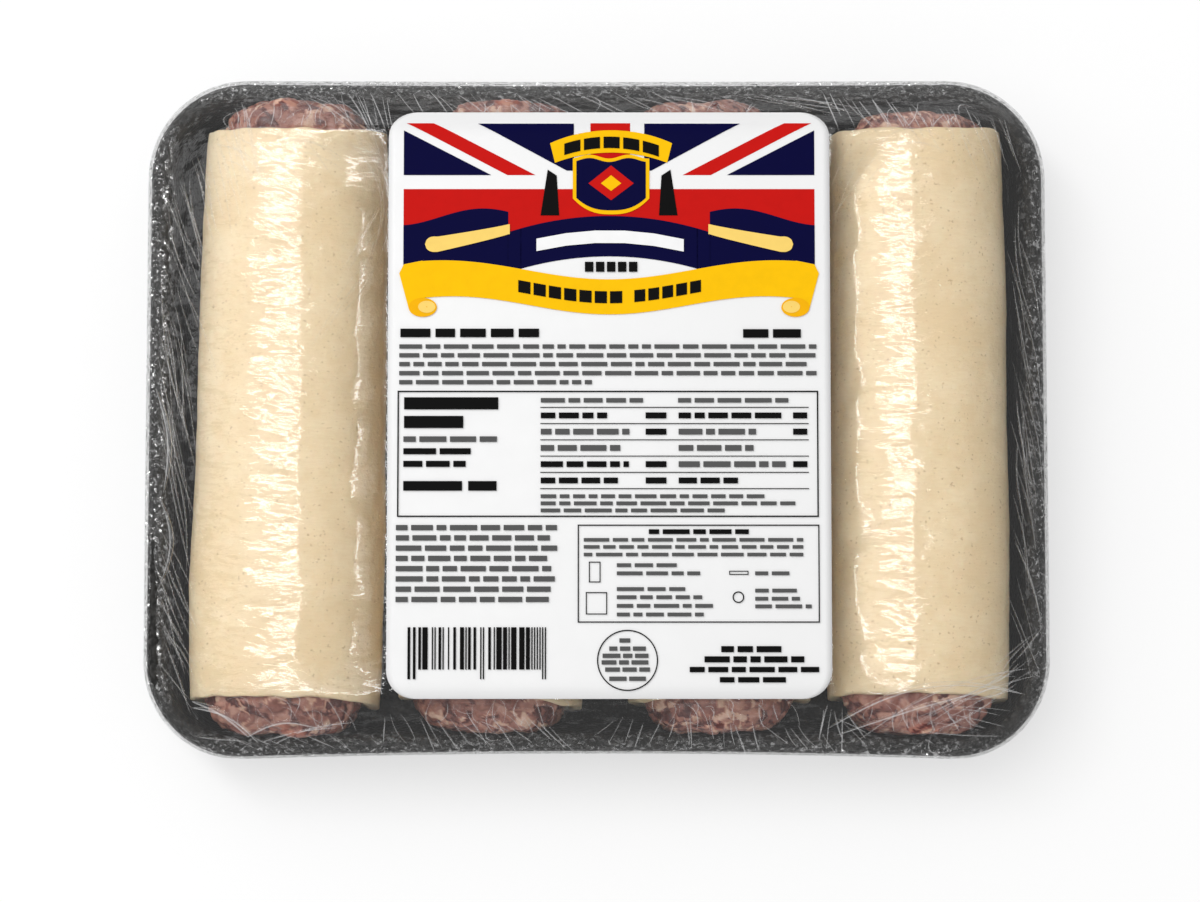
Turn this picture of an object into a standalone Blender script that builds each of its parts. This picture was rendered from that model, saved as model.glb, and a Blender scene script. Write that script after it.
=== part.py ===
"""A sealed tray pack of four raw sausage rolls.

A black foam tray with a rounded rim holds four rolls side by side. Each roll is a sheet of
pastry round a core of sausage meat, which stands out of both cut ends. Clear film is
stretched over the rolls and the rim and closed by a seam under the tray, and a paper label
is stuck on top of it.

Metres, +Z up. The origin is on the surface that the pack stands on, under the middle of the
tray. X runs along the tray's long side, and the rolls lie along Y.
"""

import math

import bmesh
import bpy
from mathutils import Matrix, Vector

MM = 0.001

# Clearances. Faceted pieces that touch in the real pack keep these gaps.
TOUCH_GAP = 0.3 * MM
FILM_GAP = 0.6 * MM
FILM_THICKNESS = 0.35 * MM

# The tray: its size outside the rim, and how far the wrap bows its two long sides in.
RIM_LENGTH = 180.0 * MM
RIM_WIDTH = 136.2 * MM
RIM_CORNER_RADIUS = 19.5 * MM
TRAY_HEIGHT = 23.4 * MM
FOAM_THICKNESS = 3.2 * MM
FRONT_BOW = 1.4 * MM
BACK_BOW = 0.4 * MM
BOW_HALF_SPAN = 80.0 * MM

# The tray's wall, as distances in from the rim's outer edge.
LIP_DROP = 4.2 * MM
LIP_OUTER_DROP = 3.0 * MM
LIP_INNER_DROP = 1.9 * MM
LIP_CREST_INSET = 2.1 * MM
LIP_UNDERCUT = 0.7 * MM
LIP_INNER_INSET = 3.8 * MM
INNER_FOOT_INSET = 5.9 * MM
INNER_FLOOR_INSET = 9.5 * MM
OUTER_WALL_TOP_INSET = 1.2 * MM
OUTER_WALL_FOOT_INSET = 3.7 * MM
BASE_EDGE_INSET = 7.5 * MM
FOOT_RADIUS = 3.6 * MM

# The rolls, from left to right. For each: where the middle of its pastry lies, how far it is
# turned in degrees, its pastry's length and width, the share of that width that it loses from
# its front end to its back end, and how far the meat stands out at the front and at the back.
ROLLS = (
    {
        "x": -61.3 * MM,
        "y": 0.6 * MM,
        "turn": -1.0,
        "length": 111.8 * MM,
        "width": 38.4 * MM,
        "taper": 0.05,
        "front": 6.8 * MM,
        "back": 6.1 * MM,
    },
    {
        "x": -19.5 * MM,
        "y": 0.4 * MM,
        "turn": -1.7,
        "length": 111.4 * MM,
        "width": 38.0 * MM,
        "taper": 0.02,
        "front": 6.2 * MM,
        "back": 6.2 * MM,
    },
    {
        "x": 22.7 * MM,
        "y": 0.4 * MM,
        "turn": 1.7,
        "length": 111.4 * MM,
        "width": 37.5 * MM,
        "taper": 0.02,
        "front": 6.2 * MM,
        "back": 6.2 * MM,
    },
    {
        "x": 64.7 * MM,
        "y": 1.0 * MM,
        "turn": -0.2,
        "length": 111.2 * MM,
        "width": 36.8 * MM,
        "taper": 0.05,
        "front": 7.4 * MM,
        "back": 3.6 * MM,
    },
)
ROLL_HEIGHT = 29.5 * MM
PASTRY_THICKNESS = 3.0 * MM
PASTRY_SIDE_REACH = 0.9 * MM
END_NARROWING = 0.035
END_SHARPNESS = 8
ROLL_ROUNDNESS_ABOVE = 2.3
ROLL_ROUNDNESS_BELOW = 3.0

# The meat's domed ends: where they start inside the pastry, how blunt they are (0 is a flat
# end, 1 is half an ellipse), the size of their flat tip and how far that tip sits above middle.
DOME_DEPTH_INSIDE = 1.5 * MM
DOME_BLUNTNESS = 0.42
DOME_TIP_SHARE = 0.4
DOME_LIFT_SHARE = 0.12

# The label: its size, its corner and where its middle lies.
LABEL_LENGTH = 116.7 * MM
LABEL_WIDTH = 87.6 * MM
LABEL_CORNER_RADIUS = 5.6 * MM
LABEL_CORNER_STEPS = 5
LABEL_CENTRE = (2.5 * MM, 2.0 * MM)
LABEL_THICKNESS = 0.3 * MM

# The seam under the tray.
SEAM_LENGTH = 110.0 * MM
SEAM_WIDTH = 1.0 * MM

# How finely round things are divided.
CORNER_STEPS = 8
LONG_SIDE_STEPS = 8
SHORT_SIDE_STEPS = 3
ROLL_STEPS = 26
ROLL_STATIONS = 9
DOME_STATIONS = 4
FLAT_ENOUGH = math.radians(1.0)
ROUND_SHADED_BELOW = math.radians(40)

TRAY_BASE = FILM_THICKNESS + FILM_GAP
FLOOR_TOP = TRAY_BASE + FOAM_THICKNESS
ROLL_MIDDLE = FLOOR_TOP + TOUCH_GAP + ROLL_HEIGHT / 2


def clear_scene():
    for obj in list(bpy.data.objects):
        bpy.data.objects.remove(obj)


def material(name, colour, roughness, metallic=0.0, alpha=1.0):
    made = bpy.data.materials.new(name)
    made.use_nodes = True
    shader = made.node_tree.nodes["Principled BSDF"]
    shader.inputs["Base Color"].default_value = (*colour, 1.0)
    shader.inputs["Roughness"].default_value = roughness
    shader.inputs["Metallic"].default_value = metallic
    shader.inputs["Alpha"].default_value = alpha
    return made


def new_object(name, bm, finish):
    """Puts a bmesh into the scene as a smooth object with one material."""
    bmesh.ops.recalc_face_normals(bm, faces=bm.faces)
    mesh = bpy.data.meshes.new(name)
    bm.to_mesh(mesh)
    bm.free()
    mesh.shade_smooth()
    mesh.set_sharp_from_angle(angle=ROUND_SHADED_BELOW)
    mesh.materials.append(finish)
    obj = bpy.data.objects.new(name, mesh)
    bpy.context.scene.collection.objects.link(obj)
    return obj


def skin_rings(bm, rings):
    """Joins rings of points, each with the same number of points, by quads. Returns their vertices."""
    made = [[bm.verts.new(point) for point in ring] for ring in rings]
    for lower, upper in zip(made, made[1:]):
        for i in range(len(lower)):
            j = (i + 1) % len(lower)
            bm.faces.new((lower[i], lower[j], upper[j], upper[i]))
    return made


def arc(centre, radius, start, end, steps):
    """Points along an arc in a profile's plane, as (inset, height), angles in degrees."""
    points = []
    for i in range(steps + 1):
        angle = math.radians(start + (end - start) * i / steps)
        points.append((centre[0] + radius[0] * math.cos(angle), centre[1] + radius[1] * math.sin(angle)))
    return points


# --- The foam tray ---------------------------------------------------------------------------


def bowed(x, y):
    """Moves a point of a long side in towards the middle, most at the middle of that side."""
    share = max(0.0, 1.0 - (x / BOW_HALF_SPAN) ** 2)
    straight_half = RIM_WIDTH / 2 - RIM_CORNER_RADIUS
    depth = min(1.0, max(0.0, (abs(y) - straight_half) / RIM_CORNER_RADIUS))
    bow = BACK_BOW if y > 0 else -FRONT_BOW
    return y - bow * share * depth


def rounded_rectangle(half_x, half_y, radius):
    """Points of a rounded rectangle, anticlockwise, with its four sides divided too."""
    inner_x, inner_y = half_x - radius, half_y - radius
    corners = ((inner_x, -inner_y, -90), (inner_x, inner_y, 0), (-inner_x, inner_y, 90), (-inner_x, -inner_y, 180))
    side_steps = (SHORT_SIDE_STEPS, LONG_SIDE_STEPS, SHORT_SIDE_STEPS, LONG_SIDE_STEPS)
    points = []
    for k, (cx, cy, start) in enumerate(corners):
        for i in range(CORNER_STEPS + 1):
            angle = math.radians(start + 90 * i / CORNER_STEPS)
            points.append((cx + radius * math.cos(angle), cy + radius * math.sin(angle)))
        here = points[-1]
        next_cx, next_cy, next_start = corners[(k + 1) % 4]
        angle = math.radians(next_start)
        there = (next_cx + radius * math.cos(angle), next_cy + radius * math.sin(angle))
        for i in range(1, side_steps[k]):
            t = i / side_steps[k]
            points.append((here[0] + (there[0] - here[0]) * t, here[1] + (there[1] - here[1]) * t))
    return points


def tray_ring(inset, height):
    """The tray's outline at a distance in from the rim's edge and at a height."""
    outline = rounded_rectangle(RIM_LENGTH / 2 - inset, RIM_WIDTH / 2 - inset, RIM_CORNER_RADIUS - inset)
    return [(x, bowed(x, y), TRAY_BASE + height) for x, y in outline]


def tray_profile():
    """The tray's section as (inset, height), from the edge of its base outside, over the rim, to its floor."""
    outer_foot = arc(
        centre=(BASE_EDGE_INSET, FOOT_RADIUS),
        radius=(BASE_EDGE_INSET - OUTER_WALL_FOOT_INSET, FOOT_RADIUS),
        start=-90,
        end=-180,
        steps=3,
    )
    outer_lip = arc(
        centre=(LIP_CREST_INSET, TRAY_HEIGHT - LIP_OUTER_DROP),
        radius=(LIP_CREST_INSET, LIP_OUTER_DROP),
        start=-180,
        end=-270,
        steps=4,
    )
    inner_lip = arc(
        centre=(LIP_CREST_INSET, TRAY_HEIGHT - LIP_INNER_DROP),
        radius=(LIP_INNER_INSET - LIP_CREST_INSET, LIP_INNER_DROP),
        start=90,
        end=0,
        steps=3,
    )
    inner_foot = arc(
        centre=(INNER_FLOOR_INSET, FOAM_THICKNESS + FOOT_RADIUS),
        radius=(INNER_FLOOR_INSET - INNER_FOOT_INSET, FOOT_RADIUS),
        start=180,
        end=270,
        steps=3,
    )
    under_lip = [
        (OUTER_WALL_TOP_INSET, TRAY_HEIGHT - LIP_DROP),
        (OUTER_WALL_TOP_INSET - LIP_UNDERCUT, TRAY_HEIGHT - LIP_DROP),
    ]
    return [*outer_foot, *under_lip, *outer_lip, *inner_lip[1:], *inner_foot]


def make_tray(finish):
    bm = bmesh.new()
    rings = skin_rings(bm, [tray_ring(inset, height) for inset, height in tray_profile()])
    bm.faces.new(rings[0])
    bm.faces.new(rings[-1])
    return new_object("tray", bm, finish)


# --- The sausage rolls -----------------------------------------------------------------------


def roll_section(half_width, half_height):
    """A closed oval, flatter below than above, as (across, up) points about its middle."""
    points = []
    for i in range(ROLL_STEPS):
        angle = 2 * math.pi * i / ROLL_STEPS
        c, s = math.cos(angle), math.sin(angle)
        power = 2 / (ROLL_ROUNDNESS_ABOVE if s >= 0 else ROLL_ROUNDNESS_BELOW)
        across = half_width * math.copysign(abs(c) ** power, c)
        up = half_height * math.copysign(abs(s) ** power, s)
        points.append((across, up))
    return points


def roll_matrix(roll):
    turn = Matrix.Rotation(math.radians(roll["turn"]), 4, "Z")
    return Matrix.Translation((roll["x"], roll["y"], ROLL_MIDDLE)) @ turn


def half_width_at(roll, share):
    """Half of a roll's width at a share of its length from the front (0) to the back (1)."""
    share = min(1.0, max(0.0, share))
    end_share = abs(2 * share - 1) ** END_SHARPNESS
    return roll["width"] / 2 * (1 + roll["taper"] * (0.5 - share)) * (1 - END_NARROWING * end_share)


def pastry_ring(roll, share):
    """The pastry's outer outline. Its cut ends reach further out at the sides than at the crest."""
    half_width = half_width_at(roll, share)
    along = (share - 0.5) * roll["length"]
    end_share = abs(2 * share - 1) ** END_SHARPNESS
    ring = []
    for across, up in roll_section(half_width, ROLL_HEIGHT / 2):
        side = (abs(across) / half_width) ** 2
        ring.append((across, along + math.copysign(PASTRY_SIDE_REACH * side * end_share, along), up))
    return ring


def make_pastry(number, roll, finish):
    """A tube of pastry: its outer skin, given its thickness inwards."""
    bm = bmesh.new()
    skin_rings(bm, [pastry_ring(roll, i / (ROLL_STATIONS - 1)) for i in range(ROLL_STATIONS)])
    pastry = new_object(f"pastry_{number}", bm, finish)
    wall = pastry.modifiers.new("Thickness", "SOLIDIFY")
    wall.thickness = PASTRY_THICKNESS
    wall.offset = -1
    wall.use_even_offset = True
    pastry.matrix_world = roll_matrix(roll)
    return pastry


def dome_stations(edge, reach):
    """A dome from its tip back to where it starts, as (distance along the roll, size) pairs."""
    stations = []
    for k in range(DOME_STATIONS):
        angle = math.pi / 2 * (1 - k / DOME_STATIONS)
        size = max(math.cos(angle) ** DOME_BLUNTNESS, DOME_TIP_SHARE)
        stations.append((edge - DOME_DEPTH_INSIDE + (DOME_DEPTH_INSIDE + reach) * math.sin(angle), size))
    stations.append((edge - DOME_DEPTH_INSIDE, 1.0))
    return stations


def filling_rings(roll):
    """The core's rings: straight inside the pastry, then closing in a rounded dome at each end."""
    clear = PASTRY_THICKNESS + TOUCH_GAP
    half_height = ROLL_HEIGHT / 2 - clear
    edge = roll["length"] / 2
    front = [(-along, size) for along, size in dome_stations(edge, roll["front"])]
    back = dome_stations(edge, roll["back"])
    rings = []
    for along, size in front + back[::-1]:
        half_width = half_width_at(roll, 0.5 + along / roll["length"]) - clear
        # A dome bulges most a little above its middle, so its rings close in towards there.
        lift = half_height * DOME_LIFT_SHARE * (1 - size)
        section = roll_section(half_width * size, half_height * size)
        rings.append([(across, along, up + lift) for across, up in section])
    return rings


def make_filling(number, roll, finish):
    bm = bmesh.new()
    rings = skin_rings(bm, filling_rings(roll))
    bm.faces.new(rings[0])
    bm.faces.new(rings[-1])
    filling = new_object(f"filling_{number}", bm, finish)
    filling.matrix_world = roll_matrix(roll)
    return filling


# --- The stretched film ----------------------------------------------------------------------


def outer_points(obj, gap):
    """An object's points in the world, each moved out along its normal by a gap."""
    graph = bpy.context.evaluated_depsgraph_get()
    evaluated = obj.evaluated_get(graph)
    mesh = evaluated.to_mesh()
    turn = evaluated.matrix_world.to_3x3()
    points = [evaluated.matrix_world @ v.co + turn @ v.normal * gap for v in mesh.vertices]
    evaluated.to_mesh_clear()
    return points


def seam_loop():
    """The narrow opening that the seam's two edges leave under the tray."""
    half, side = SEAM_LENGTH / 2, SEAM_WIDTH / 2
    return [(-half, 0), (-half + side, -side), (half - side, -side), (half, 0), (half - side, side), (-half + side, side)]


def wrap_hull(contents):
    """The surface that film under tension lies on: the convex hull of what it wraps."""
    bpy.context.view_layer.update()
    bm = bmesh.new()
    for obj in contents:
        for point in outer_points(obj, FILM_GAP):
            bm.verts.new(point)
    hull = bmesh.ops.convex_hull(bm, input=bm.verts)
    inside = {v for v in hull["geom_interior"] + hull["geom_unused"] if isinstance(v, bmesh.types.BMVert)}
    bmesh.ops.delete(bm, geom=list(inside), context="VERTS")
    bmesh.ops.dissolve_limit(bm, angle_limit=FLAT_ENOUGH, verts=bm.verts, edges=bm.edges)
    bmesh.ops.recalc_face_normals(bm, faces=bm.faces)
    return bm


def make_film(hull, finish):
    """The wrap's skin, with a slit where its two edges meet under the tray."""
    bm = hull.copy()
    underside = min(bm.faces, key=lambda face: face.calc_center_median().z)
    level = underside.calc_center_median().z
    base_edges = list(underside.edges)
    bmesh.ops.delete(bm, geom=[underside], context="FACES_ONLY")
    seam = [bm.verts.new((x, y, level)) for x, y in seam_loop()]
    seam_edges = [bm.edges.new((a, b)) for a, b in zip(seam, seam[1:] + seam[:1])]
    bmesh.ops.triangle_fill(bm, use_beauty=True, use_dissolve=False, edges=base_edges + seam_edges)
    slit = [face for face in bm.faces if all(v in seam for v in face.verts)]
    bmesh.ops.delete(bm, geom=slit, context="FACES_ONLY")
    film = new_object("film", bm, finish)
    wall = film.modifiers.new("Thickness", "SOLIDIFY")
    wall.thickness = FILM_THICKNESS
    wall.offset = 1
    wall.use_even_offset = True
    return film


# --- The label -------------------------------------------------------------------------------


def label_outline():
    """The label's edge seen from above, anticlockwise."""
    inner_x = LABEL_WIDTH / 2 - LABEL_CORNER_RADIUS
    inner_y = LABEL_LENGTH / 2 - LABEL_CORNER_RADIUS
    points = []
    for side_x, side_y, start in ((1, -1, -90), (1, 1, 0), (-1, 1, 90), (-1, -1, 180)):
        for i in range(LABEL_CORNER_STEPS + 1):
            angle = math.radians(start + 90 * i / LABEL_CORNER_STEPS)
            x = side_x * inner_x + LABEL_CORNER_RADIUS * math.cos(angle)
            y = side_y * inner_y + LABEL_CORNER_RADIUS * math.sin(angle)
            points.append((LABEL_CENTRE[0] + x, LABEL_CENTRE[1] + y))
    return points


def make_label(hull, finish):
    """A sheet of paper that follows the film, cut out along the label's edge."""
    bm = hull.copy()
    outline = label_outline()
    for (x0, y0), (x1, y1) in zip(outline, outline[1:] + outline[:1]):
        outward = Vector((y1 - y0, x0 - x1, 0))
        whole = bm.verts[:] + bm.edges[:] + bm.faces[:]
        bmesh.ops.bisect_plane(bm, geom=whole, plane_co=(x0, y0, 0), plane_no=outward, clear_outer=True)
    underside = [face for face in bm.faces if face.normal.z < 0]
    bmesh.ops.delete(bm, geom=underside, context="FACES")
    bmesh.ops.translate(bm, verts=bm.verts, vec=(0, 0, FILM_THICKNESS + TOUCH_GAP))
    label = new_object("label", bm, finish)
    sheet = label.modifiers.new("Thickness", "SOLIDIFY")
    sheet.thickness = LABEL_THICKNESS
    sheet.offset = 1
    return label


def main():
    clear_scene()
    foam = material("black foam", (0.035, 0.035, 0.036), 0.55)
    dough = material("raw pastry", (0.79, 0.62, 0.38), 0.6)
    meat = material("sausage meat", (0.33, 0.16, 0.13), 0.4)
    clear = material("clear film", (0.95, 0.95, 0.95), 0.08, alpha=0.15)
    paper = material("label paper", (0.92, 0.92, 0.93), 0.35)

    contents = [make_tray(foam)]
    for number, roll in enumerate(ROLLS, start=1):
        contents.append(make_pastry(number, roll, dough))
        contents.append(make_filling(number, roll, meat))
    hull = wrap_hull(contents)
    make_film(hull, clear)
    make_label(hull, paper)
    hull.free()


main()
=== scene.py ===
"""A sealed tray pack of four raw sausage rolls, as it looks on a shop counter.

Black foam tray, four pastry rolls with coarse meat in them, clear stretched film and a
printed paper label. Metres, +Z up, +Y along the rolls towards the top of the label.
"""

import math

import bpy
import numpy as np
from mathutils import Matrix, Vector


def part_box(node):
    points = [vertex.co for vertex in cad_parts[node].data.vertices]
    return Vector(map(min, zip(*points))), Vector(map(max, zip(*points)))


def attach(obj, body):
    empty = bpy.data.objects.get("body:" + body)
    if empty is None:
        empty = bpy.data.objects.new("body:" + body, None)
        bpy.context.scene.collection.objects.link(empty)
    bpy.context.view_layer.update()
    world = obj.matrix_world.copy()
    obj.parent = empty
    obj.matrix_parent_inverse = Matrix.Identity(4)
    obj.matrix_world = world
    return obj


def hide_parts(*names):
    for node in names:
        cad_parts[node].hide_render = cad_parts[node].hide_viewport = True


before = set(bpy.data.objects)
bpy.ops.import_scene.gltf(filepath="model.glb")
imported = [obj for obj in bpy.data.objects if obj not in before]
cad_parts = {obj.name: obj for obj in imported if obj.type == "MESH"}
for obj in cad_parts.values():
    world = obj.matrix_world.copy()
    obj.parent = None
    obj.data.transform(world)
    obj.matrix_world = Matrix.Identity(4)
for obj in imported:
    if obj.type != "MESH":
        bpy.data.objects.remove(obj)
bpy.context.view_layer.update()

MM = 0.001


# --- The counter, the lamps and the camera ----------------------------------------------------
# A white counter with a strip lamp and a wide soft lamp over the pack's left shoulder, and even
# light from all round. The camera looks down almost upright from the front.

CAMERA_ELEVATION = math.radians(85.0)
CAMERA_DISTANCE = 0.70
VIEW_WIDTH = 0.2405
AIM = (0.7 * MM, -6.8 * MM, 24 * MM)
LAMPS = (
    # (name, place, width, length, power)
    ("strip_lamp", (-0.28, 0.24, 1.12), 0.20, 0.95, 5.3),
    ("wide_lamp", (-0.62, 0.40, 1.15), 1.50, 1.50, 6.8),
)
SKY_STRENGTH = 0.51
COUNTER_SIZE = 3.0
COUNTER_WHITE = 0.90
COUNTER_GLOW = 0.58


def look_from(obj, place, target):
    """Puts an object at a place, with its -Z axis towards a target."""
    from mathutils import Vector

    obj.location = place
    obj.rotation_euler = (Vector(target) - Vector(place)).to_track_quat("-Z", "Y").to_euler()


def add_to_scene(name, data):
    made = bpy.data.objects.new(name, data)
    bpy.context.scene.collection.objects.link(made)
    return made


camera = add_to_scene("camera", bpy.data.cameras.new("camera"))
camera.data.clip_start = 0.01
camera.data.lens = camera.data.sensor_width * CAMERA_DISTANCE / VIEW_WIDTH
look_from(
    camera,
    (
        AIM[0],
        AIM[1] - CAMERA_DISTANCE * math.cos(CAMERA_ELEVATION),
        AIM[2] + CAMERA_DISTANCE * math.sin(CAMERA_ELEVATION),
    ),
    AIM,
)
bpy.context.scene.camera = camera

for name, place, width, length, power in LAMPS:
    lamp = add_to_scene(name, bpy.data.lights.new(name, "AREA"))
    lamp.data.shape = "RECTANGLE"
    lamp.data.size, lamp.data.size_y = width, length
    lamp.data.energy = power
    look_from(lamp, place, (0, 0, 0.02))

bpy.context.scene.view_settings.view_transform = "Standard"


class Shade:
    """An output in a material's node tree. Python's operators join it to others by Math nodes."""

    def __init__(self, tree, socket):
        self.tree = tree
        self.socket = socket

    def node(self, kind, settings=None, inputs=None, output=0):
        """Adds a node: its settings first, then the values or links of its sockets."""
        made = self.tree.nodes.new(kind)
        for name, value in (settings or {}).items():
            if name == "stops":
                ramp = made.color_ramp
                while len(ramp.elements) < len(value):
                    ramp.elements.new(0.5)
                for element, (position, colour) in zip(ramp.elements, value):
                    element.position = position
                    element.color = (*colour, 1.0)
            else:
                setattr(made, name, value)
        for name, value in (inputs or {}).items():
            if isinstance(value, Shade):
                self.tree.links.new(value.socket, made.inputs[name])
            else:
                made.inputs[name].default_value = value
        return Shade(self.tree, made.outputs[output])

    def math(self, operation, first, second=0.0):
        return self.node("ShaderNodeMath", {"operation": operation}, {0: first, 1: second})

    def __add__(self, other):
        return self.math("ADD", self, other)

    def __mul__(self, other):
        return self.math("MULTIPLY", self, other)

    def __sub__(self, other):
        return self.math("SUBTRACT", self, other)

    def __rsub__(self, other):
        return self.math("SUBTRACT", other, self)

    __radd__ = __add__
    __rmul__ = __mul__

    def between(self, low, high):
        """0 where the value is at or under low, 1 at or over high, smooth between them."""
        return self.node(
            "ShaderNodeMapRange",
            {"interpolation_type": "SMOOTHSTEP"},
            {"Value": self, "From Min": low, "From Max": high},
        )

    def stretched(self, scale):
        """The same coordinates, multiplied along each axis."""
        return self.node("ShaderNodeMapping", {}, {"Vector": self, "Scale": scale})

    def noise(self, scale, detail=3.0, roughness=0.5, distortion=0.0):
        inputs = {"Vector": self, "Scale": scale, "Detail": detail}
        inputs.update({"Roughness": roughness, "Distortion": distortion})
        return self.node("ShaderNodeTexNoise", {}, inputs)

    def blend(self, colour_a, colour_b):
        """Colour A where this is 0 and colour B where it is 1."""
        inputs = {0: self}
        for index, colour in ((6, colour_a), (7, colour_b)):
            inputs[index] = colour if isinstance(colour, Shade) else (*colour, 1.0)
        return self.node("ShaderNodeMix", {"data_type": "RGBA"}, inputs, output=2)

    def bump(self, distance, strength=1.0):
        return self.node(
            "ShaderNodeBump", {}, {"Height": self, "Distance": distance, "Strength": strength}
        )


def new_material(name):
    """A material, its Principled shader, and the Object coordinates that its patterns read."""
    made = bpy.data.materials.new(name)
    made.use_nodes = True
    tree = made.node_tree
    coordinates = Shade(tree, tree.nodes.new("ShaderNodeTexCoord").outputs["Object"])
    return made, tree.nodes["Principled BSDF"], coordinates


def feed(shader, inputs):
    """Sets a shader's sockets to values, or links them."""
    for name, value in inputs.items():
        if isinstance(value, Shade):
            value.tree.links.new(value.socket, shader.inputs[name])
        else:
            shader.inputs[name].default_value = value


def add_surface(name, grid, material, close_rows=False, close_columns=False, flip=False, caps=False):
    """A mesh on a grid of points, of shape (rows, columns, 3).

    Each cell is a quad. Rows or columns join up with their first where closed, and caps closes
    the first and the last row with a face each.
    """
    rows, columns = grid.shape[:2]
    number = np.arange(rows * columns).reshape(rows, columns)
    if close_rows:
        number = np.vstack([number, number[:1]])
    if close_columns:
        number = np.hstack([number, number[:, :1]])
    quads = np.stack([number[:-1, :-1], number[:-1, 1:], number[1:, 1:], number[1:, :-1]], axis=-1)
    quads = quads.reshape(-1, 4)
    if flip:
        quads = quads[:, ::-1]
    faces = quads.tolist()
    if caps:
        step = 1 if flip else -1
        faces.append(number[0, :columns][::step].tolist())
        faces.append(number[-1, :columns][:: -step].tolist())
    mesh = bpy.data.meshes.new(name)
    mesh.from_pydata(grid.reshape(-1, 3).tolist(), [], faces)
    mesh.shade_smooth()
    mesh.materials.append(material)
    return add_to_scene(name, mesh)


# The counter lies just under the pack. To the camera it has a white glow of its own, so that only
# a faint shadow of the pack stays on it.
counter_finish, counter_shader, where = new_material("white counter")
to_camera = where.node("ShaderNodeLightPath")
counter_colour = to_camera.blend((COUNTER_WHITE,) * 3, (0.98 * (1 - COUNTER_GLOW),) * 3)
feed(counter_shader, {"Base Color": counter_colour, "Roughness": 0.9, "Specular IOR Level": 0.0})
feed(counter_shader, {"Emission Color": (1, 1, 1, 1), "Emission Strength": to_camera * COUNTER_GLOW})
counter_x, counter_y = np.meshgrid([-COUNTER_SIZE / 2, COUNTER_SIZE / 2], [-COUNTER_SIZE / 2, COUNTER_SIZE / 2])
counter_grid = np.stack([counter_x, counter_y, np.full_like(counter_x, -0.1 * MM)], axis=-1)
add_surface("counter", counter_grid, counter_finish)

sky = bpy.data.worlds.new("even light")
sky.use_nodes = True
bpy.context.scene.world = sky
sky_tree = sky.node_tree
seen = Shade(sky_tree, sky_tree.nodes.new("ShaderNodeLightPath").outputs["Is Camera Ray"])
sky_level = seen * (1.0 - SKY_STRENGTH) + SKY_STRENGTH
feed(sky_tree.nodes["Background"], {"Color": (1, 1, 1, 1), "Strength": sky_level})


# --- The foam tray ----------------------------------------------------------------------------
# Pressed from a sheet of black expanded foam. Its skin is pebbled by the foam's beads, its rim is
# rolled over, and the tight film bows its long sides in a little.

tray_low, tray_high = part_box("tray")
RIM_HALF_X = (tray_high.x - tray_low.x) / 2
RIM_HALF_Y = 68.1 * MM
RIM_RADIUS = 19.5 * MM
TRAY_BASE = tray_low.z
TRAY_TOP = tray_high.z
FRONT_BOW = 1.4 * MM
BACK_BOW = 0.4 * MM
BOW_HALF_SPAN = 80 * MM
BEAD_RELIEF = 0.07 * MM


def arc_points(centre, radius, start, end, steps):
    """Points on an ellipse's arc: centre + radius × (cos, sin) of angles in degrees."""
    angle = np.radians(np.linspace(start, end, steps + 1))
    return np.stack([centre[0] + radius[0] * np.cos(angle), centre[1] + radius[1] * np.sin(angle)], axis=-1)


def bowed(x, y):
    """Moves points of the long sides in: by a parabola along x, and only where y is near the rim."""
    share = np.clip(1 - (x / BOW_HALF_SPAN) ** 2, 0, None)
    depth = np.clip((np.abs(y) - (RIM_HALF_Y - RIM_RADIUS)) / RIM_RADIUS, 0, 1)
    return y - np.where(y > 0, BACK_BOW, -FRONT_BOW) * share * depth


def rim_outline(count):
    """Points round the rim's outer edge and their outward directions, anticlockwise.

    The edge is a core rectangle grown by a radius. The place along the core and the outward angle
    both change in straight steps with the distance walked round the edge.
    """
    core_x, core_y = RIM_HALF_X - RIM_RADIUS, RIM_HALF_Y - RIM_RADIUS
    quarter = math.pi / 2 * RIM_RADIUS
    sides = [2 * core_y, quarter, 2 * core_x, quarter, 2 * core_y, quarter, 2 * core_x, quarter]
    marks = np.concatenate([[0], np.cumsum(sides)])
    walked = np.arange(count) / count * marks[-1]
    along_x = np.interp(walked, marks, core_x * np.array([1, 1, 1, -1, -1, -1, -1, 1, 1]))
    along_y = np.interp(walked, marks, core_y * np.array([-1, 1, 1, 1, 1, -1, -1, -1, -1]))
    angle = np.interp(walked, marks, np.radians([0, 0, 90, 90, 180, 180, 270, 270, 360]))
    outward = np.stack([np.cos(angle), np.sin(angle)], axis=-1)
    return np.stack([along_x, along_y], axis=-1) + RIM_RADIUS * outward, outward


def ripples(points, wavelength, seed, count=24, across=None):
    """Smooth random relief between about -1 and 1: a sum of sine waves in random directions.

    across squeezes the directions towards one axis, so that the crests run along the other.
    """
    rng = np.random.default_rng(seed)
    waves = rng.normal(size=(count, points.shape[-1]))
    if across is not None:
        waves = waves * np.asarray(across)
    waves = waves / np.linalg.norm(waves, axis=1, keepdims=True)
    waves = waves * (2 * math.pi / wavelength) * rng.uniform(0.6, 1.6, (count, 1))
    phase = rng.uniform(0, 2 * math.pi, count)
    return np.sin(points @ waves.T + phase).sum(axis=-1) / math.sqrt(count)


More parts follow.
